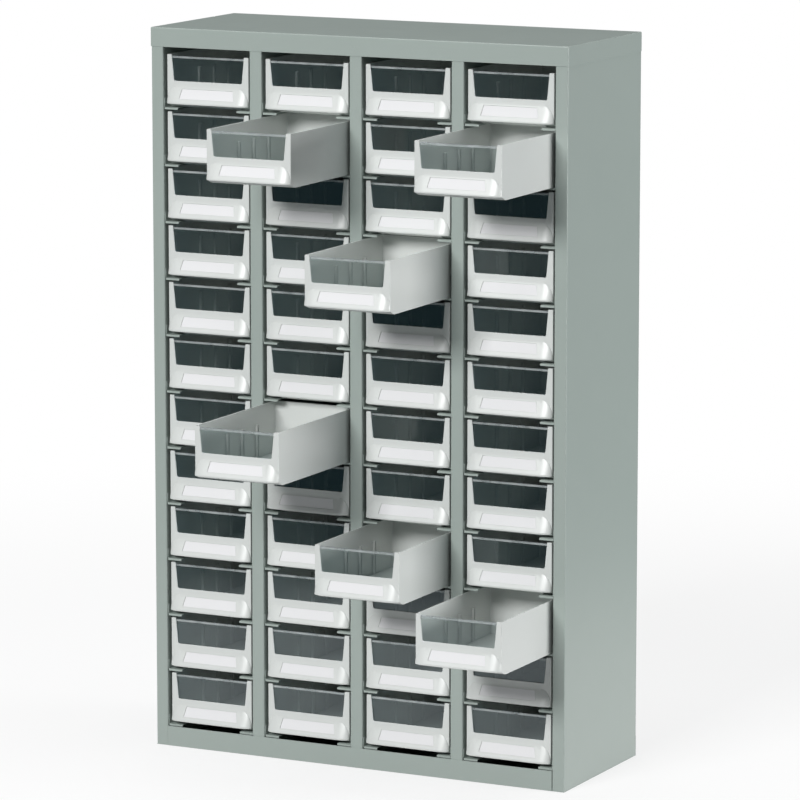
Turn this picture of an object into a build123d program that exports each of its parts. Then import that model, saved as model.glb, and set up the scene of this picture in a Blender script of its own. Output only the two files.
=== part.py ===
from build123d import *
import os

# Steel parts bin cabinet with four columns of twelve clear-fronted plastic drawers.
# Millimetres. The origin is at the middle of the underside: X to the right, Y to the back, Z up.
# The drawers stand as they do in use: six are pulled out, and the others are closed.

# Cabinet
cabinet_width = 586.0
cabinet_depth = 222.0
cabinet_height = 937.0
sheet = 0.8
bend_radius = 1.6
cap_radius = 1.4
base_fold_radius = 0.6
columns = 4
rows = 12
stile_width = 17.6
post_width = 17.2
top_rail_height = 24.7
bottom_rail_height = 26.0

# Drawer grid
row_pitch = 73.3
top_of_first_drawer = 34.2
front_recess = 5.0

# Drawer tray
tray_width = 117.6
tray_length = 212.0
tray_height = 67.8
tray_wall = 1.8
front_wall = 3.0
front_bottom = 5.0

# Window in the drawer front, and its clear pane
window_bottom = 35.5
window_width_top = 104.5
window_width_bottom = 98.0
pane_thickness = 1.5
pane_margin = 2.2
pane_drop = 2.0
pane_play = 0.1

# Label hood along the lower front, which is also the finger pull
hood_top = 27.0
hood_reach = 6.5
hood_lip = 2.0
hood_end_radius = 14.8

# Label card, which lies in a shallow pocket on the sloping hood
card_width_top = 73.0
card_width_bottom = 78.0
card_height = 13.0
card_thickness = 0.5
card_edge_play = 0.4
pocket_depth = 1.0
card_middle_up_slope = 11.5

# Pairs of ribs inside the tray, which hold loose dividers
rib_places = (80.0, 119.0, 158.0)
rib_slot = 2.4
rib_thickness = 1.4
rib_reach = 3.0
rib_top = 45.0

# Runners that carry the drawers
ledge_width = 20.0
runner_web_height = 12.0
runner_end_tab = 2.5
runner_gap = 0.2
runner_recess = 3.0

# How far each open drawer is pulled out, by row from the top and column from the left
open_drawers = {(2, 2): 155.0, (2, 4): 149.0, (4, 3): 166.0, (7, 2): 190.0, (9, 3): 141.0, (10, 4): 145.0}

front_y = -cabinet_depth / 2
back_y = cabinet_depth / 2
inner_half_width = cabinet_width / 2 - sheet
opening_width = (cabinet_width - 2 * stile_width - (columns - 1) * post_width) / columns
column_pitch = opening_width + post_width
first_opening = -cabinet_width / 2 + stile_width
upright_bottom = sheet
upright_height = cabinet_height - 2 * sheet
upright_front = front_y + sheet
upright_back = back_y - 2 * sheet
front_corner = (Align.CENTER, Align.MIN)
low_corner = (Align.CENTER, Align.MIN, Align.MIN)
low_middle = (Align.CENTER, Align.CENTER, Align.MIN)

os.makedirs("parts", exist_ok=True)


def opening_left(column):
    return first_opening + (column - 1) * column_pitch


def tray_bottom(row):
    return cabinet_height - top_of_first_drawer - (row - 1) * row_pitch - tray_height


def save(part, name):
    part.label = name
    export_step(part, f"parts/{name}.step")


# An upright is one sheet folded to a channel that is open to the back.
# Its web is what shows from the front, and its walls run back to the back panel.
def folded_upright(left, right):
    middle = (left + right) / 2
    wall_depth = upright_back - upright_front
    with BuildPart() as upright:
        with BuildSketch(Plane.XY.offset(upright_bottom)) as outside:
            with Locations((middle, upright_front)):
                Rectangle(right - left, wall_depth, align=front_corner)
            fillet(outside.vertices().group_by(Axis.Y)[0], bend_radius)
        extrude(amount=upright_height)
        with BuildSketch(Plane.XY.offset(upright_bottom)) as inside:
            with Locations((middle, upright_front + sheet)):
                Rectangle(right - left - 2 * sheet, wall_depth, align=front_corner)
            fillet(inside.vertices().group_by(Axis.Y)[0], bend_radius - sheet)
        extrude(amount=upright_height, mode=Mode.SUBTRACT)
    return upright.part


save(folded_upright(-inner_half_width, first_opening), "left_side_panel")
save(folded_upright(-first_opening, inner_half_width), "right_side_panel")
for column, place in enumerate(("left", "middle", "right"), start=1):
    post_left = opening_left(column) + opening_width
    save(folded_upright(post_left, post_left + post_width), f"{place}_divider")

# The top panel is a folded cap that closes over all the uprights. Its front edge is the top rail.
with BuildPart() as top_panel:
    with BuildSketch(Plane.XY.offset(cabinet_height - top_rail_height)):
        Rectangle(cabinet_width, cabinet_depth)
    extrude(amount=top_rail_height)
    upper_edges = top_panel.edges().group_by(Axis.Z)[-1]
    fillet(top_panel.edges().filter_by(Axis.Z) + upper_edges, cap_radius)
    with BuildSketch(Plane.XY.offset(cabinet_height - top_rail_height)):
        Rectangle(2 * inner_half_width, cabinet_depth - 2 * sheet)
    extrude(amount=top_rail_height - sheet, mode=Mode.SUBTRACT)
save(top_panel.part, "top_panel")

# The bottom panel is the floor plate with the bottom rail folded up between the outer stiles.
with BuildPart() as bottom_panel:
    with BuildSketch():
        Rectangle(2 * inner_half_width, cabinet_depth - 2 * sheet)
    extrude(amount=sheet)
    with Locations((0, front_y, 0)):
        Box(-2 * first_opening, sheet, bottom_rail_height, align=low_corner)
    with Locations((0, back_y - sheet, 0)):
        Box(2 * inner_half_width, sheet, bottom_rail_height, align=low_corner)
    fold_edges = bottom_panel.edges().filter_by(Axis.X).group_by(Axis.Z)[0]
    outer_folds = [fold_edges.sort_by(Axis.Y)[0], fold_edges.sort_by(Axis.Y)[-1]]
    fillet(outer_folds, base_fold_radius)
save(bottom_panel.part, "bottom_panel")

with BuildPart() as back_panel:
    with BuildSketch(Plane.XZ.offset(-upright_back)):
        with Locations((0, upright_bottom)):
            Rectangle(2 * inner_half_width, upright_height, align=front_corner)
    extrude(amount=-sheet)
save(back_panel.part, "back_panel")

# A runner is an angle whose web is welded to the upright's wall and whose ledge carries the drawer.
# Its front end is turned down. This one is for the left of a drawer, with its ledge top at zero.
runner_front = front_y + runner_recess
with BuildPart() as left_runner:
    with BuildSketch(Plane.XZ.offset(-upright_back)):
        with BuildLine():
            Polyline(
                (0, -sheet),
                (ledge_width, -sheet),
                (ledge_width, 0),
                (sheet, 0),
                (sheet, runner_web_height),
                (0, runner_web_height),
                close=True,
            )
        make_face()
    extrude(amount=upright_back - runner_front)
    with Locations((0, runner_front, -runner_end_tab)):
        Box(ledge_width, sheet, runner_end_tab, align=Align.MIN)
with BuildPart() as right_runner:
    add(mirror(left_runner.part, about=Plane.YZ))

for column in range(1, columns + 1):
    left_wall = opening_left(column)
    right_wall = left_wall + opening_width
    runners = []
    for row in range(1, rows + 1):
        ledge_top = tray_bottom(row) - runner_gap
        runners.append(Pos(left_wall, 0, ledge_top) * left_runner.part)
        runners.append(Pos(right_wall, 0, ledge_top) * right_runner.part)
    save(Compound(children=runners), f"column_{column}_runners")


# The drawer is made with the middle of its front face at zero in X and Y and its bottom at zero in Z.
# Its outlines are all level-sided and wider or narrower at the top, so one function draws them.
def flared_sketch(plane, half_low, low, half_high, high):
    with BuildSketch(plane, mode=Mode.PRIVATE) as outline:
        with BuildLine():
            Polyline((-half_low, low), (half_low, low), (half_high, high), (-half_high, high), close=True)
        make_face()
    return outline.sketch


def window_sketch(plane, margin, low, high):
    flare = (window_width_top - window_width_bottom) / 2 / (tray_height - window_bottom)
    half_low = window_width_bottom / 2 + margin + flare * (low - window_bottom)
    half_high = window_width_bottom / 2 + margin + flare * (high - window_bottom)
    return flared_sketch(plane, half_low, low, half_high, high)


# The hood's outline is as wide as the drawer, with elliptical upper corners that run down to its lip.
# A slope from the lip's top to the hood's upper edge trims it to a wedge.
lip_top = front_bottom + hood_lip
slope_low = Vector(0, -hood_reach, lip_top)
slope_high = Vector(0, 0, hood_top)
slope_plane = Plane(origin=slope_low, x_dir=(1, 0, 0), z_dir=Vector(1, 0, 0).cross(slope_high - slope_low))

with BuildPart() as hood:
    with BuildSketch(Plane.XZ):
        half_width = tray_width / 2
        end_middle = half_width - hood_end_radius
        end_rise = hood_top - lip_top
        with BuildLine():
            Line((-half_width, front_bottom), (half_width, front_bottom))
            Line((half_width, front_bottom), (half_width, lip_top))
            EllipticalCenterArc((end_middle, lip_top), hood_end_radius, end_rise, 0, arc_size=90)
            Line((end_middle, hood_top), (-end_middle, hood_top))
            EllipticalCenterArc((-end_middle, lip_top), hood_end_radius, end_rise, 90, arc_size=90)
            Line((-half_width, lip_top), (-half_width, front_bottom))
        make_face()
    extrude(amount=hood_reach)
    split(bisect_by=slope_plane, keep=Keep.BOTTOM)

pocket_floor = slope_plane.offset(-pocket_depth)
pane_front = Plane.XZ.offset(pane_thickness - front_wall)


def card_sketch(play):
    half_low = card_width_bottom / 2 + play
    half_high = card_width_top / 2 + play
    low = card_middle_up_slope - card_height / 2 - play
    high = card_middle_up_slope + card_height / 2 + play
    return flared_sketch(pocket_floor, half_low, low, half_high, high)


with BuildPart() as tray:
    with BuildSketch(Plane.YZ.offset(-tray_width / 2)):
        with BuildLine():
            Polyline(
                (0, front_bottom),
                (front_bottom, 0),
                (tray_length, 0),
                (tray_length, tray_height),
                (0, tray_height),
                close=True,
            )
        make_face()
    extrude(amount=tray_width)
    with BuildSketch(Plane.YZ.offset(-tray_width / 2 + tray_wall)):
        with BuildLine():
            Polyline(
                (front_wall, front_bottom + tray_wall),
                (front_bottom + tray_wall, tray_wall),
                (tray_length - tray_wall, tray_wall),
                (tray_length - tray_wall, tray_height),
                (front_wall, tray_height),
                close=True,
            )
        make_face()
    extrude(amount=tray_width - 2 * tray_wall, mode=Mode.SUBTRACT)
    add(hood.part)
    window = window_sketch(Plane.XZ, 0, window_bottom, tray_height)
    extrude(window, amount=-front_wall, mode=Mode.SUBTRACT)
    pane_pocket = window_sketch(pane_front, pane_margin, window_bottom - pane_margin, tray_height)
    extrude(pane_pocket, amount=-pane_thickness, mode=Mode.SUBTRACT)
    extrude(card_sketch(card_edge_play), amount=hood_reach, mode=Mode.SUBTRACT)
    rib_offset = (rib_slot + rib_thickness) / 2
    rib_from_middle = (tray_width - rib_reach) / 2 - tray_wall
    ribs = [
        (side * rib_from_middle, place + step * rib_offset, tray_wall)
        for place in rib_places
        for step in (-1, 1)
        for side in (-1, 1)
    ]
    with Locations(*ribs):
        Box(rib_reach, rib_thickness, rib_top - tray_wall, align=low_middle)

with BuildPart() as pane:
    pane_low = window_bottom - pane_margin + pane_play
    pane_outline = window_sketch(pane_front, pane_margin - pane_play, pane_low, tray_height - pane_drop)
    extrude(pane_outline, amount=-pane_thickness)

with BuildPart() as card:
    extrude(card_sketch(0), amount=card_thickness)

for row in range(1, rows + 1):
    for column in range(1, columns + 1):
        pulled = open_drawers.get((row, column), 0.0)
        middle = opening_left(column) + opening_width / 2
        place = Pos(middle, front_y + front_recess - pulled, tray_bottom(row))
        drawer = Compound(children=[place * piece for piece in (tray.part, pane.part, card.part)])
        save(drawer, f"drawer_r{row:02d}_c{column}")
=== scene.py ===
import math

import bmesh
import bpy
from mathutils import Matrix, Vector


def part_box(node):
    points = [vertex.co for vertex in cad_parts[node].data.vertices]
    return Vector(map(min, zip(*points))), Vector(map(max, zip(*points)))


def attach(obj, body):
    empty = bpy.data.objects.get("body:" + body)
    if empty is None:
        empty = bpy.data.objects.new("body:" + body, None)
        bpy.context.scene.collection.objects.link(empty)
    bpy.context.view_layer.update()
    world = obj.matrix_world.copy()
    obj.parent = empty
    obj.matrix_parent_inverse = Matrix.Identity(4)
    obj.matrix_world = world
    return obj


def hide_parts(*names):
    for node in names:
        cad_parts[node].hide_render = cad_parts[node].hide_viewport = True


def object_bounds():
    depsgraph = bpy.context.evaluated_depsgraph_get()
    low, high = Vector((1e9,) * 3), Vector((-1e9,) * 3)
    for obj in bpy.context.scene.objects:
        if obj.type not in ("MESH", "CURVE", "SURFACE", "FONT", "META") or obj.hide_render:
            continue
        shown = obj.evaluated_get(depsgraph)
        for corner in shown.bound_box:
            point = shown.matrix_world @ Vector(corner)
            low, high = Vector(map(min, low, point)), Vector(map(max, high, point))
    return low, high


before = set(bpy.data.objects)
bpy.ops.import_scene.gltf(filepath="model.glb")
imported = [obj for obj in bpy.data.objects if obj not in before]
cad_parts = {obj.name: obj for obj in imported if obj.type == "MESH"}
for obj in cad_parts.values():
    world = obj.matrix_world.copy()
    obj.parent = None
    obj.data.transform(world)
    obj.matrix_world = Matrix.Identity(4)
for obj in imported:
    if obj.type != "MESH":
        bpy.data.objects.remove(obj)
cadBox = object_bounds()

# Steel parts cabinet, four columns of twelve clear-fronted drawers.
# Metres, Z up, the fronts face -Y. Every piece takes its place from the frame.
columns = 4
rows = 12
facing = 0.9        # the least share of a direction that counts as along an axis
touching = 2e-5     # places nearer than this are the same
cutSlack = 1e-6
mergeGap = 1e-5


def onlySelect(piece):
    bpy.ops.object.select_all(action="DESELECT")
    piece.select_set(True)
    bpy.context.view_layer.objects.active = piece


def addBox(name, low, high):
    bpy.ops.object.select_all(action="DESELECT")
    low, high = Vector(low), Vector(high)
    bpy.ops.mesh.primitive_cube_add(size=1, location=(low + high) / 2, scale=high - low)
    box = bpy.context.object
    box.name = name
    bpy.ops.object.transform_apply(location=True, rotation=True, scale=True)
    return box


def edit(piece):
    onlySelect(piece)
    bpy.ops.object.mode_set(mode="EDIT")
    bpy.ops.mesh.select_all(action="DESELECT")


def finishEdit():
    bpy.ops.object.mode_set(mode="OBJECT")


# The three pick functions select what a test on its place and direction accepts.
def pickFaces(piece, wanted):
    bpy.ops.mesh.select_mode(type="FACE")
    mesh = bmesh.from_edit_mesh(piece.data)
    for face in mesh.faces:
        face.select_set(bool(wanted(face.calc_center_median(), face.normal)))
    mesh.select_flush_mode()
    bmesh.update_edit_mesh(piece.data)


def pickEdges(piece, wanted):
    bpy.ops.mesh.select_mode(type="EDGE")
    mesh = bmesh.from_edit_mesh(piece.data)
    for edge in mesh.edges:
        ends = [corner.co for corner in edge.verts]
        edge.select_set(bool(wanted((ends[0] + ends[1]) / 2, (ends[1] - ends[0]).normalized())))
    mesh.select_flush_mode()
    bmesh.update_edit_mesh(piece.data)


def pickCorners(piece, wanted):
    bpy.ops.mesh.select_mode(type="VERT")
    mesh = bmesh.from_edit_mesh(piece.data)
    for corner in mesh.verts:
        corner.select_set(bool(wanted(corner.co)))
    mesh.select_flush_mode()
    bmesh.update_edit_mesh(piece.data)


def near(a, b):
    return abs(a - b) < touching


# Turns a closed shell's faces outwards. A shell that is inside out has a negative volume.
def turnOutwards(piece):
    bpy.ops.mesh.select_all(action="SELECT")
    bpy.ops.mesh.normals_make_consistent(inside=False)
    if bmesh.from_edit_mesh(piece.data).calc_volume(signed=True) < 0:
        bpy.ops.mesh.flip_normals()


def extrude(x, y, z):
    bpy.ops.mesh.extrude_region_move(TRANSFORM_OT_translate={"value": (x, y, z)})


def roundPicked(radius, segments):
    bpy.ops.mesh.bevel(offset=radius, segments=segments, affect="EDGES")


def applyModifier(piece, kind, **settings):
    onlySelect(piece)
    modifier = piece.modifiers.new(kind.title(), kind)
    for name, value in settings.items():
        setattr(modifier, name, value)
    bpy.ops.object.modifier_apply(modifier=modifier.name)


def combine(piece, tool, operation):
    applyModifier(piece, "BOOLEAN", object=tool, operation=operation, solver="EXACT")
    bpy.data.objects.remove(tool)


def joinPieces(pieces):
    onlySelect(pieces[0])
    for piece in pieces:
        piece.select_set(True)
    bpy.ops.object.join()
    return pieces[0]


# Holds the rounds and folds of a piece within its own box.
def keepWithin(piece, low, high):
    for corner in piece.data.vertices:
        corner.co = [min(max(value, least), most) for value, least, most in zip(corner.co, low, high)]


def roundSharpEdges(piece, radius, segments=1, angle=50):
    applyModifier(piece, "BEVEL", width=radius, segments=segments, limit_method="ANGLE",
                  angle_limit=math.radians(angle), use_clamp_overlap=True, miter_outer="MITER_ARC")


def smooth(piece, angle=32):
    onlySelect(piece)
    bpy.ops.object.shade_smooth_by_angle(angle=math.radians(angle))
    applyModifier(piece, "WEIGHTED_NORMAL", keep_sharp=True)


# A Signal is one socket of a node tree, so that shader maths reads as plain sums.
class Signal:
    def __init__(self, tree, socket=None):
        self.tree = tree
        self.socket = socket

    def node(self, kind, settings, inputs, result=0):
        made = self.tree.nodes.new("ShaderNode" + kind)
        for name, value in settings.items():
            setattr(made, name, value)
        for name, value in inputs.items():
            if isinstance(value, Signal):
                self.tree.links.new(value.socket, made.inputs[name])
            else:
                made.inputs[name].default_value = value
        return Signal(self.tree, made.outputs[result] if made.outputs else None)

    def maths(self, operation, first, second):
        return self.node("Math", {"operation": operation}, {0: first, 1: second})

    def __add__(self, other):
        return self.maths("ADD", self, other)

    def __mul__(self, other):
        return self.maths("MULTIPLY", self, other)

    __radd__ = __add__
    __rmul__ = __mul__

    def place(self):
        return self.node("TexCoord", {}, {}, "Object")

    def noise(self, scale, detail=2.0, roughness=0.5):
        return self.node("TexNoise", {}, {"Vector": self.place(), "Scale": scale, "Detail": detail,
                                          "Roughness": roughness}, "Fac")

    def blend(self, amount, first, second):
        return self.node("Mix", {"data_type": "RGBA"}, {"Factor": amount, 6: (*first, 1), 7: (*second, 1)}, 2)

    def bump(self, height, distance, under=None):
        inputs = {"Height": height, "Distance": distance, "Strength": 1.0}
        if under:
            inputs["Normal"] = under
        return self.node("Bump", {}, inputs)

    def mixShader(self, amount, first, second):
        return self.node("MixShader", {}, {0: amount, 1: first, 2: second})

    def glow(self, colour):
        return self.node("Emission", {}, {"Color": (*colour, 1), "Strength": 1.0})

    def rays(self, kind):
        return self.node("LightPath", {}, {}, kind)


def newMaterial(name):
    material = bpy.data.materials.new(name)
    material.use_nodes = True
    material.node_tree.nodes.clear()
    return material, Signal(material.node_tree)


# Fine orange peel over slow waves in the thin sheet, with a faint drift in tone.
paint = {
    "colour": (0.360, 0.412, 0.384), "deeper": (0.330, 0.382, 0.356),
    "toneScale": 3.5, "toneDetail": 3, "speckScale": 1400, "speckDetail": 1, "speckShare": 0.3,
    "roughness": 0.38, "roughnessSwing": 0.10, "roughnessScale": 40, "roughnessDetail": 3,
    "peelScale": 620, "peelDetail": 2, "peelHeight": 0.00006,
    "waveScale": 4.5, "waveDetail": 1, "waveHeight": 0.0022,
}


def paintFinish():
    material, start = newMaterial("greyGreenPowderCoat")
    tone = start.noise(paint["toneScale"], paint["toneDetail"]) * (1 - paint["speckShare"])
    tone = tone + start.noise(paint["speckScale"], paint["speckDetail"]) * paint["speckShare"]
    roughness = start.noise(paint["roughnessScale"], paint["roughnessDetail"]) * paint["roughnessSwing"]
    wave = start.bump(start.noise(paint["waveScale"], paint["waveDetail"]), paint["waveHeight"])
    peel = start.bump(start.noise(paint["peelScale"], paint["peelDetail"]), paint["peelHeight"], wave)
    shader = start.node("BsdfPrincipled", {}, {
        "Base Color": start.blend(tone, paint["colour"], paint["deeper"]),
        "Roughness": roughness + (paint["roughness"] - paint["roughnessSwing"] / 2),
        "Normal": peel,
    })
    start.node("OutputMaterial", {}, {"Surface": shader})
    return material


plastic = {
    "colour": (0.66, 0.685, 0.67), "warmer": (0.635, 0.655, 0.635), "flowScale": 18, "flowDetail": 3,
    "roughness": 0.34, "roughnessSwing": 0.12, "roughnessScale": 120, "roughnessDetail": 3,
    "grainScale": 900, "grainDetail": 2, "grainHeight": 0.00003,
}


def plasticFinish():
    material, start = newMaterial("offWhitePlastic")
    flow = start.noise(plastic["flowScale"], plastic["flowDetail"])
    roughness = start.noise(plastic["roughnessScale"], plastic["roughnessDetail"]) * plastic["roughnessSwing"]
    grain = start.noise(plastic["grainScale"], plastic["grainDetail"])
    shader = start.node("BsdfPrincipled", {}, {
        "Base Color": start.blend(flow, plastic["colour"], plastic["warmer"]),
        "Roughness": roughness + (plastic["roughness"] - plastic["roughnessSwing"] / 2),
        "Normal": start.bump(grain, plastic["grainHeight"]),
    })
    start.node("OutputMaterial", {}, {"Surface": shader})
    return material


paper = {
    "colour": (0.80, 0.80, 0.81), "shade": (0.76, 0.76, 0.77), "roughness": 0.75,
    "fibreScale": 1600, "fibreDetail": 4, "fibreContrast": 0.7, "fibreHeight": 0.00002,
}


def paperFinish():
    material, start = newMaterial("whiteCard")
    fibre = start.noise(paper["fibreScale"], paper["fibreDetail"], paper["fibreContrast"])
    shader = start.node("BsdfPrincipled", {}, {
        "Base Color": start.blend(fibre, paper["shade"], paper["colour"]),
        "Roughness": paper["roughness"],
        "Normal": start.bump(fibre, paper["fibreHeight"]),
    })
    start.node("OutputMaterial", {}, {"Surface": shader})
    return material


clear = {
    "tint": (0.88, 0.905, 0.90), "mirror": (0.84, 0.95, 1.0), "index": 1.5, "polish": 0.04,
    "haze": (0.55, 0.58, 0.58), "hazeShare": 0.006, "beadShare": 0.42, "hazeScale": 60, "hazeDetail": 3,
}


# The pane is clear, with a trace of haze. The bead along its top is more frosted.
def clearFinish(name, hazeShare):
    material, start = newMaterial(name)
    through = start.node("BsdfTransparent", {}, {"Color": (*clear["tint"], 1)})
    milky = start.node("BsdfDiffuse", {}, {"Color": (*clear["haze"], 1)})
    mirror = start.node("BsdfGlossy", {}, {"Color": (*clear["mirror"], 1), "Roughness": clear["polish"]})
    cloud = start.noise(clear["hazeScale"], clear["hazeDetail"]) * (2 * hazeShare)   # noise averages a half
    body = start.mixShader(cloud, through, milky)
    shine = start.node("Fresnel", {}, {"IOR": clear["index"]})
    start.node("OutputMaterial", {}, {"Surface": start.mixShader(shine, body, mirror)})
    return material


steelCoat = paintFinish()
trayPlastic = plasticFinish()
labelPaper = paperFinish()
panePlastic = clearFinish("clearPane", clear["hazeShare"])
beadPlastic = clearFinish("frostedBead", clear["beadShare"])
print("finishes made")


# A drawer is modelled with the middle of its front face at zero and its bottom at zero height.
tray = {
    "width": 0.1176, "length": 0.212, "height": 0.0678,
    "wall": 0.0018, "frontWall": 0.003, "chamferHeight": 0.005, "chamferDepth": 0.012,
    "frontRound": 0.001, "frontSteps": 3, "backRound": 0.004, "backSteps": 4,
    "insideRound": 0.0022, "insideSteps": 3, "bottomRound": 0.0012, "bottomSteps": 3,
    "edgeRound": 0.00035, "edgeSteps": 2, "flatAngle": 0.5,
}
window = {
    "bottom": 0.034, "widthTop": 0.1045, "widthBottom": 0.098, "above": 0.001,
    "cornerRound": 0.0018, "cornerSteps": 4, "edgeRound": 0.0003,
    "paneThickness": 0.0015, "paneMargin": 0.0022, "paneDrop": 0.002, "panePlay": 0.0001,
    "beadHeight": 0.0026, "beadDepth": 0.0008, "paneRound": 0.0002, "paneSteps": 2,
}
hood = {
    "top": 0.027, "reach": 0.0065, "lip": 0.002, "endRadius": 0.0148, "endSteps": 8,
    "ringShares": (0.2, 0.4, 0.55, 0.7, 0.8, 0.9, 0.96),
    "lipRound": 0.0005, "lipSteps": 3, "bottomRound": 0.0004, "bottomSteps": 2,
}
card = {
    "widthTop": 0.073, "widthBottom": 0.078, "height": 0.013, "thickness": 0.0005,
    "play": 0.0004, "pocketDepth": 0.001, "pocketTop": 0.004, "upSlope": 0.0115,
    "cornerRound": 0.0006, "cornerSteps": 2, "edgeRound": 0.00008,
}
ribs = {
    "places": (0.080, 0.119, 0.158), "slot": 0.0024, "thickness": 0.0014, "reach": 0.003, "top": 0.045,
    "edgeRound": 0.0003, "edgeSteps": 1,
}

lipTop = tray["chamferHeight"] + hood["lip"]
slopeRise = hood["top"] - lipTop
slopeAngle = math.atan2(slopeRise, hood["reach"])
windowFlare = (window["widthTop"] - window["widthBottom"]) / 2 / (tray["height"] - window["bottom"])


def trayShell():
    halfWidth = tray["width"] / 2
    wall, length, height = tray["wall"], tray["length"], tray["height"]
    shell = addBox("tray", (-halfWidth, 0, 0), (halfWidth, length, height))
    edit(shell)
    chamferHeight, chamferDepth = tray["chamferHeight"], tray["chamferDepth"]
    pickEdges(shell, lambda middle, way: near(middle.y, 0) and near(middle.z, 0))
    roundPicked(chamferHeight, 1)
    pickCorners(shell, lambda spot: near(spot.y, chamferHeight) and near(spot.z, 0))
    bpy.ops.transform.translate(value=(0, chamferDepth - chamferHeight, 0))
    pickFaces(shell, lambda middle, normal: normal.z > facing)
    bpy.ops.mesh.inset(thickness=wall)
    extrude(0, 0, wall - height)
    innerHalf = halfWidth - wall
    innerBack = length - wall
    frontWall = tray["frontWall"]
    pickCorners(shell, lambda spot: near(spot.y, wall) and near(abs(spot.x), innerHalf))
    bpy.ops.transform.translate(value=(0, frontWall - wall, 0))
    pickEdges(shell, lambda middle, way: near(middle.y, frontWall) and near(middle.z, wall))
    roundPicked(chamferHeight, 1)
    pickCorners(shell, lambda spot: near(spot.y, frontWall + chamferHeight) and near(spot.z, wall))
    bpy.ops.transform.translate(value=(0, chamferDepth + wall - frontWall - chamferHeight, 0))
    pickEdges(shell, lambda middle, way: abs(way.z) > facing and near(middle.y, innerBack)
              and near(abs(middle.x), innerHalf))
    roundPicked(tray["insideRound"], tray["insideSteps"])
    pickEdges(shell, lambda middle, way: abs(way.z) > facing and near(middle.y, length))
    roundPicked(tray["backRound"], tray["backSteps"])
    pickEdges(shell, lambda middle, way: abs(way.z) > facing and near(middle.y, 0))
    roundPicked(tray["frontRound"], tray["frontSteps"])
    pickFaces(shell, lambda middle, normal: near(middle.z, 0))
    bpy.ops.mesh.region_to_loop()
    roundPicked(tray["bottomRound"], tray["bottomSteps"])
    pickFaces(shell, lambda middle, normal: near(middle.z, height))
    bpy.ops.mesh.region_to_loop()
    roundPicked(tray["edgeRound"], tray["edgeSteps"])
    finishEdit()
    return shell


def flaredBlock(name, margin, low, high, front, back):
    halfLow = window["widthBottom"] / 2 + margin + windowFlare * (low - window["bottom"])
    halfHigh = window["widthBottom"] / 2 + margin + windowFlare * (high - window["bottom"])
    block = addBox(name, (-halfLow, front, low), (halfLow, back, high))
    edit(block)
    pickFaces(block, lambda middle, normal: normal.z > facing)
    bpy.ops.transform.resize(value=(halfHigh / halfLow, 1, 1), center_override=(0, 0, 0))
    finishEdit()
    return block


def windowOpening():
    top = tray["height"] + window["above"]
    block = flaredBlock("opening", 0, window["bottom"], top, window["edgeRound"],
                        tray["frontWall"] + window["above"])
    edit(block)
    pickEdges(block, lambda middle, way: abs(way.y) > facing and near(middle.z, window["bottom"]))
    roundPicked(window["cornerRound"], window["cornerSteps"])
    pickFaces(block, lambda middle, normal: normal.y < -facing)
    extrude(0, -2 * window["edgeRound"], 0)     # a flare, which rounds the opening's front edge
    wider = 1 + 4 * window["edgeRound"] / window["widthBottom"]
    taller = 1 + 2 * window["edgeRound"] / (tray["height"] - window["bottom"])
    bpy.ops.transform.resize(value=(wider, 1, taller), center_override=(0, 0, top))
    finishEdit()
    return block


# The hood is a wedge whose ends are spun to quarter cones, then drawn out ring by ring to ellipses.
def hoodBlock():
    middleHalf = tray["width"] / 2 - hood["endRadius"]
    reach, low = hood["reach"], tray["chamferHeight"]
    block = addBox("hood", (-middleHalf, -reach, low), (middleHalf, 0, hood["top"]))
    edit(block)
    bpy.ops.mesh.select_all(action="SELECT")
    slopeNormal = Vector((0, -slopeRise, reach)).normalized()
    bpy.ops.mesh.bisect(plane_co=(0, -reach, lipTop), plane_no=slopeNormal, threshold=cutSlack,
                        use_fill=True, clear_outer=True)
    for share in hood["ringShares"]:
        bpy.ops.mesh.select_all(action="SELECT")
        bpy.ops.mesh.bisect(plane_co=(0, 0, lipTop + share * slopeRise), plane_no=(0, 0, 1),
                            threshold=cutSlack)
    bpy.ops.mesh.select_all(action="SELECT")
    bpy.ops.mesh.bisect(plane_co=(0, 0, lipTop), plane_no=(0, 0, 1), threshold=cutSlack)
    for side in (-1, 1):
        pickFaces(block, lambda middle, normal: normal.x * side > facing
                  and near(middle.x, side * middleHalf))
        bpy.ops.mesh.spin(steps=hood["endSteps"], angle=-side * math.pi / 2, axis=(0, 0, 1),
                          center=(side * middleHalf, 0, 0))
    bpy.ops.mesh.select_all(action="SELECT")
    bpy.ops.mesh.remove_doubles(threshold=cutSlack)
    rings = [(low, 0), (lipTop, 0)] + [(lipTop + share * slopeRise, share) for share in hood["ringShares"]]
    for height, share in rings:
        wider = hood["endRadius"] / reach * math.sqrt((1 + share) / (1 - share))
        for side in (-1, 1):
            pickCorners(block, lambda spot: near(spot.z, height) and spot.x * side > middleHalf + cutSlack)
            bpy.ops.transform.resize(value=(wider, 1, 1), center_override=(side * middleHalf, 0, height))
    pickFaces(block, lambda middle, normal: normal.y > facing and near(middle.y, 0))
    extrude(0, tray["frontWall"] / 2, 0)
    turnOutwards(block)
    pickEdges(block, lambda middle, way: near(middle.z, lipTop) and middle.y < -mergeGap)
    roundPicked(hood["lipRound"], hood["lipSteps"])
    pickEdges(block, lambda middle, way: near(middle.z, low) and middle.y < -mergeGap)
    roundPicked(hood["bottomRound"], hood["bottomSteps"])
    finishEdit()
    return block


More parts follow.
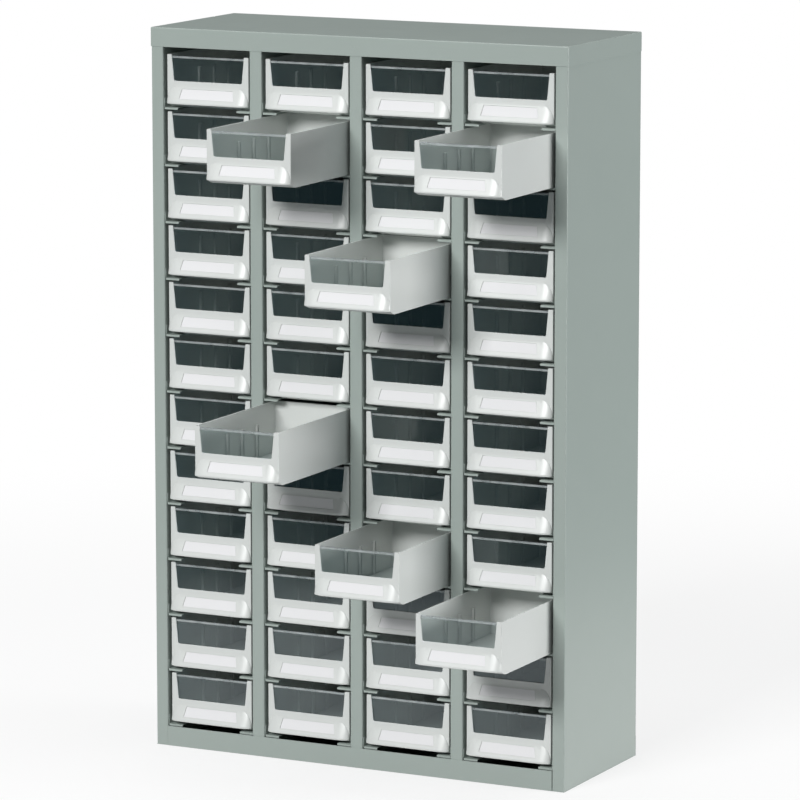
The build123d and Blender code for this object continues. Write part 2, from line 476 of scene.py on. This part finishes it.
def slopeBlock(name, play, low, high):
    halfLow = card["widthBottom"] / 2 + play
    halfHigh = card["widthTop"] / 2 + play
    halfHeight = card["height"] / 2 + play
    block = addBox(name, (-halfLow, card["upSlope"] - halfHeight, low),
                   (halfLow, card["upSlope"] + halfHeight, high))
    edit(block)
    pickFaces(block, lambda middle, normal: normal.y > facing)
    bpy.ops.transform.resize(value=(halfHigh / halfLow, 1, 1), center_override=(0, 0, 0))
    pickEdges(block, lambda middle, way: abs(way.z) > facing)
    roundPicked(card["cornerRound"], card["cornerSteps"])
    finishEdit()
    block.rotation_euler = (slopeAngle, 0, 0)
    block.location = (0, -hood["reach"], lipTop)
    onlySelect(block)
    bpy.ops.object.transform_apply(location=True, rotation=True, scale=True)
    return block


def ribBlocks():
    step = (ribs["slot"] + ribs["thickness"]) / 2
    outer = tray["width"] / 2 - tray["wall"] / 2
    inner = tray["width"] / 2 - tray["wall"] - ribs["reach"]
    made = []
    for place in ribs["places"]:
        for side in (-1, 1):
            for turn in (-1, 1):
                middle = place + turn * step
                ends = sorted((side * outer, side * inner))
                rib = addBox("rib", (ends[0], middle - ribs["thickness"] / 2, tray["wall"] / 2),
                             (ends[1], middle + ribs["thickness"] / 2, ribs["top"]))
                edit(rib)
                pickEdges(rib, lambda spot, way: near(spot.x, side * inner) or near(spot.z, ribs["top"]))
                roundPicked(ribs["edgeRound"], ribs["edgeSteps"])
                finishEdit()
                made.append(rib)
    return joinPieces(made)


def makeTray():
    top = tray["height"] + window["above"]
    shell = trayShell()
    combine(shell, hoodBlock(), "UNION")
    combine(shell, windowOpening(), "DIFFERENCE")
    seat = flaredBlock("seat", window["paneMargin"], window["bottom"] - window["paneMargin"], top,
                       tray["frontWall"] - window["paneThickness"], tray["frontWall"] + window["above"])
    combine(shell, seat, "DIFFERENCE")
    combine(shell, slopeBlock("pocket", card["play"], -card["pocketDepth"], card["pocketTop"]), "DIFFERENCE")
    combine(shell, ribBlocks(), "UNION")
    edit(shell)
    bpy.ops.mesh.select_all(action="SELECT")
    bpy.ops.mesh.remove_doubles(threshold=mergeGap)
    bpy.ops.mesh.dissolve_limited(angle_limit=math.radians(tray["flatAngle"]))
    turnOutwards(shell)
    finishEdit()
    low = (-tray["width"] / 2, -hood["reach"], 0)
    high = (tray["width"] / 2, tray["length"], tray["height"])
    keepWithin(shell, low, high)
    smooth(shell)
    return shell


def makePane():
    margin = window["paneMargin"] - window["panePlay"]
    bottom = window["bottom"] - margin
    top = tray["height"] - window["paneDrop"]
    front, back = tray["frontWall"] - window["paneThickness"], tray["frontWall"]
    beadLow = top - window["beadHeight"]
    pane = flaredBlock("pane", margin, bottom, top, front, back)
    edit(pane)
    bpy.ops.mesh.select_all(action="SELECT")
    bpy.ops.mesh.bisect(plane_co=(0, 0, beadLow), plane_no=(0, 0, 1))
    pickFaces(pane, lambda middle, normal: near(middle.y, back) and middle.z > beadLow)
    extrude(0, window["beadDepth"], 0)
    finishEdit()
    roundSharpEdges(pane, window["paneRound"], window["paneSteps"])
    smooth(pane)
    for finish in (panePlastic, beadPlastic):
        pane.data.materials.append(finish)
    for face in pane.data.polygons:
        face.material_index = int(face.center.z > beadLow - window["paneRound"])
    return pane


def makeCard():
    label = slopeBlock("card", 0, -card["pocketDepth"], card["thickness"] - card["pocketDepth"])
    roundSharpEdges(label, card["edgeRound"])
    smooth(label)
    return label


# A copy has its own mesh, moved to its place, and keeps its pattern's finish.
def placeCopy(pattern, name, shift):
    mesh = pattern.data.copy()
    mesh.transform(Matrix.Translation(shift))
    piece = bpy.data.objects.new(name, mesh)
    bpy.context.collection.objects.link(piece)
    return piece


def makeDrawers():
    patterns = {
        "tray": (makeTray(), "drawer_plastic"),
        "pane": (makePane(), "window_plastic"),
        "card": (makeCard(), "label_card"),
    }
    patterns["tray"][0].data.materials.append(trayPlastic)
    patterns["card"][0].data.materials.append(labelPaper)
    for row in range(1, rows + 1):
        for column in range(1, columns + 1):
            drawer = f"r{row:02d}_c{column}"
            node = "drawer_" + drawer
            low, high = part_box(node)
            shift = Vector(((low[0] + high[0]) / 2, low[1] + hood["reach"], low[2]))
            for kind, (pattern, slot) in patterns.items():
                piece = placeCopy(pattern, f"{kind}_{drawer}", shift)
                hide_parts(node)
                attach(piece, node)
    for kind, (pattern, slot) in patterns.items():
        print(kind, "has", len(pattern.data.polygons), "faces")
        bpy.data.objects.remove(pattern)


makeDrawers()
print("drawers made")


sheetMetal = {"thickness": 0.0008, "edgeRound": 0.00015}
upright = {"bend": 0.0016, "segments": 5}
cap = {"bend": 0.0014, "segments": 5}
runner = {
    "ledgeWidth": 0.020, "webHeight": 0.012, "tabDrop": 0.0025, "rowPitch": 0.0733,
    "webBend": 0.0012, "tabBend": 0.0007, "bendSteps": 3, "tabCorner": 0.0008, "cornerSteps": 3,
}


# Folded sheet starts as the outer faces of a box. It gets its thickness inwards once its bends are round.
def giveThickness(piece):
    applyModifier(piece, "SOLIDIFY", thickness=sheetMetal["thickness"], offset=-1, use_even_offset=True)
    roundSharpEdges(piece, sheetMetal["edgeRound"])
    smooth(piece)


def finishSheet(piece, node):
    piece.data.materials.append(steelCoat)
    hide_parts(node)
    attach(piece, "cabinet")


def makeUpright(node):
    low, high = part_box(node)
    piece = addBox("steel_" + node, low, high)
    edit(piece)
    pickFaces(piece, lambda middle, normal: normal.y > facing or abs(normal.z) > facing)
    bpy.ops.mesh.delete(type="FACE")
    pickEdges(piece, lambda middle, way: abs(way.z) > facing and near(middle.y, low[1]))
    roundPicked(upright["bend"], upright["segments"])
    finishEdit()
    giveThickness(piece)
    finishSheet(piece, node)


def makeCap(node):
    low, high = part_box(node)
    piece = addBox("steel_" + node, low, high)
    edit(piece)
    pickFaces(piece, lambda middle, normal: normal.z < -facing)
    bpy.ops.mesh.delete(type="FACE")
    pickEdges(piece, lambda middle, way: abs(way.z) > facing or near(middle.z, high[2]))
    roundPicked(cap["bend"], cap["segments"])
    finishEdit()
    giveThickness(piece)
    finishSheet(piece, node)


# One runner, for the left of a drawer: ledge top at zero height, web against the upright at zero X.
def makeRunner(front, back):
    thickness = sheetMetal["thickness"]
    bpy.ops.object.select_all(action="DESELECT")
    bpy.ops.mesh.primitive_plane_add(size=1, location=(0, 0, 0))
    piece = bpy.context.object
    piece.scale = (runner["ledgeWidth"] - thickness, back - front, 1)
    piece.location = ((runner["ledgeWidth"] + thickness) / 2, (front + back) / 2, 0)
    bpy.ops.object.transform_apply(location=True, rotation=True, scale=True)
    edit(piece)
    pickEdges(piece, lambda middle, way: near(middle.x, thickness))
    extrude(0, 0, runner["webHeight"])
    pickEdges(piece, lambda middle, way: near(middle.y, front) and abs(way.x) > facing)
    extrude(0, 0, -runner["tabDrop"])
    pickEdges(piece, lambda middle, way: near(middle.x, thickness) and near(middle.z, 0)
              and abs(way.y) > facing)
    roundPicked(runner["webBend"], runner["bendSteps"])
    pickEdges(piece, lambda middle, way: near(middle.y, front) and near(middle.z, 0) and abs(way.x) > facing)
    roundPicked(runner["tabBend"], runner["bendSteps"])
    pickCorners(piece, lambda spot: near(spot.z, -runner["tabDrop"]) and spot.x > runner["ledgeWidth"] / 2)
    bpy.ops.mesh.bevel(offset=runner["tabCorner"], segments=runner["cornerSteps"], affect="VERTICES")
    finishEdit()
    applyModifier(piece, "SOLIDIFY", thickness=thickness, offset=-1, use_even_offset=True)
    keepWithin(piece, (0, front, -runner["tabDrop"]), (runner["ledgeWidth"], back, runner["webHeight"]))
    smooth(piece)
    return piece


def makeRunners(column):
    node = f"column_{column}_runners"
    low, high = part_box(node)
    topLedge = high[2] - runner["webHeight"]
    left = makeRunner(low[1], high[1])
    right = placeCopy(left, "rightRunner", Vector())
    right.data.transform(Matrix.Scale(-1, 4, (1, 0, 0)))
    edit(right)
    turnOutwards(right)
    finishEdit()
    made = []
    for level in range(rows):
        height = topLedge - level * runner["rowPitch"]
        made.append(placeCopy(left, "runner", Vector((low[0], 0, height))))
        made.append(placeCopy(right, "runner", Vector((high[0], 0, height))))
    for pattern in (left, right):
        bpy.data.objects.remove(pattern)
    piece = joinPieces(made)
    piece.name = "steel_" + node
    finishSheet(piece, node)


for node in ("left_side_panel", "left_divider", "middle_divider", "right_divider", "right_side_panel"):
    makeUpright(node)
makeCap("top_panel")
for column in range(1, columns + 1):
    makeRunners(column)
for node in ("bottom_panel", "back_panel"):
    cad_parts[node].data.materials.clear()
    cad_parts[node].data.materials.append(steelCoat)
print("cabinet made")


# The floor is white near the object. Further off its colour is dim, a painted shade for floor that no lamp
# lights, and in reflections it glows dim blue-green, a painted reflection.
studio = {
    "floorSize": 30, "floorGap": 0.0002, "nearFloor": (0.50, 0.50, 0.50), "paintedShadeFarFloor": (0.10, 0.11, 0.11),
    "seenFloor": (0.95, 0.95, 0.95), "whiteStart": 0.9, "whiteEnd": 1.5, "paintedFarReflection": (0.08, 0.15, 0.17),
    "shadowStart": 0.7, "shadowEnd": 2.2, "shadowShare": 0.25, "ambient": (0.080, 0.085, 0.090),
}
lamps = {
    "keyLamp": {"place": (-0.60, -5.30, 2.95), "aim": (0, 0, 0.45), "size": (2.2, 1.3), "power": 290},
    "fillLamp": {"place": (4.8, 1.45, 0.80), "aim": (0.3, 0.0, 0.5), "size": (2.6, 1.4), "power": 190},
    "topLamp": {"place": (0, 0.2, 4.2), "aim": (0, 0.2, 0), "size": (2.6, 2.6), "power": 70},
    "backLamp": {"place": (-2.8, 4.6, 0.5), "aim": (0, 0, 0.5), "size": (2.4, 0.75), "power": 110},
}
view = {
    "azimuth": 26.6166, "elevation": 9.5788, "distance": 6.387, "lens": 224.0, "sensor": 36.0,
    "right": 0.00634, "up": -0.00801,
}


def makeFloor():
    bpy.ops.object.select_all(action="DESELECT")
    bpy.ops.mesh.primitive_plane_add(size=studio["floorSize"], location=(0, 0, -studio["floorGap"]))
    floor = bpy.context.object
    floor.name = "floor"
    material, start = newMaterial("paleFloor")
    distance = start.node("VectorMath", {"operation": "LENGTH"}, {0: start.place()}, "Value")

    def fade(near, far):
        return start.node("MapRange", {"interpolation_type": "SMOOTHSTEP"},
                          {"Value": distance, "From Min": near, "From Max": far})

    def matt(colour):
        return start.node("BsdfDiffuse", {}, {"Color": (*colour, 1)})

    white = start.glow((1, 1, 1))
    paintedLightFade = fade(studio["whiteStart"], studio["whiteEnd"])
    shadowFade = fade(studio["shadowStart"], studio["shadowEnd"]) * studio["shadowShare"]
    # painted shade: the floor's colour goes from mid grey near the object to nearly black further off,
    # standing for floor that no lamp lights; the object's bounce light comes from it
    lit = start.mixShader(paintedLightFade, matt(studio["nearFloor"]), matt(studio["paintedShadeFarFloor"]))
    seen = start.mixShader(shadowFade + (1 - studio["shadowShare"]), matt(studio["seenFloor"]), white)
    # painted reflection: glossy rays see the floor glow white near the object and a dim blue-green further
    # off, which darkens the panes' reflections
    paintedReflection = start.mixShader(paintedLightFade, white, start.glow(studio["paintedFarReflection"]))
    shown = start.mixShader(start.rays("Is Camera Ray"), lit, seen)
    surface = start.mixShader(start.rays("Is Glossy Ray"), shown, paintedReflection)
    start.node("OutputMaterial", {}, {"Surface": surface})
    floor.data.materials.append(material)


def makeWorld():
    world = bpy.data.worlds.new("studio")
    bpy.context.scene.world = world
    world.use_nodes = True
    world.node_tree.nodes.clear()
    start = Signal(world.node_tree)
    lit = start.node("Background", {}, {"Color": (*studio["ambient"], 1), "Strength": 1.0})
    white = start.node("Background", {}, {"Color": (1, 1, 1, 1), "Strength": 1.0})
    seen = start.maths("MAXIMUM", start.rays("Is Camera Ray"), start.rays("Is Transmission Ray"))
    start.node("OutputWorld", {}, {"Surface": start.mixShader(seen, lit, white)})


def makeLamps():
    for name, values in lamps.items():
        lamp = bpy.data.lights.new(name, "AREA")
        lamp.shape = "RECTANGLE"
        lamp.size, lamp.size_y = values["size"]
        lamp.energy = values["power"]
        lampObject = bpy.data.objects.new(name, lamp)
        place, aim = Vector(values["place"]), Vector(values["aim"])
        lampObject.location = place
        lampObject.rotation_euler = (aim - place).to_track_quat("-Z", "Y").to_euler()
        bpy.context.collection.objects.link(lampObject)


def makeCamera():
    azimuth, elevation = math.radians(view["azimuth"]), math.radians(view["elevation"])
    back = Vector((math.sin(azimuth) * math.cos(elevation),
                   -math.cos(azimuth) * math.cos(elevation),
                   math.sin(elevation)))
    turn = (-back).to_track_quat("-Z", "Y")
    aim = Vector((0, 0, (cadBox[0][2] + cadBox[1][2]) / 2)) + turn @ Vector((view["right"], view["up"], 0))
    lens = bpy.data.cameras.new("camera")
    lens.lens = view["lens"]
    lens.sensor_width = view["sensor"]
    camera = bpy.data.objects.new("camera", lens)
    camera.location = aim + back * view["distance"]
    camera.rotation_euler = turn.to_euler()
    bpy.context.collection.objects.link(camera)
    bpy.context.scene.camera = camera


makeFloor()
makeWorld()
makeLamps()
makeCamera()
bpy.context.scene.view_settings.view_transform = "Standard"
print("stage set")
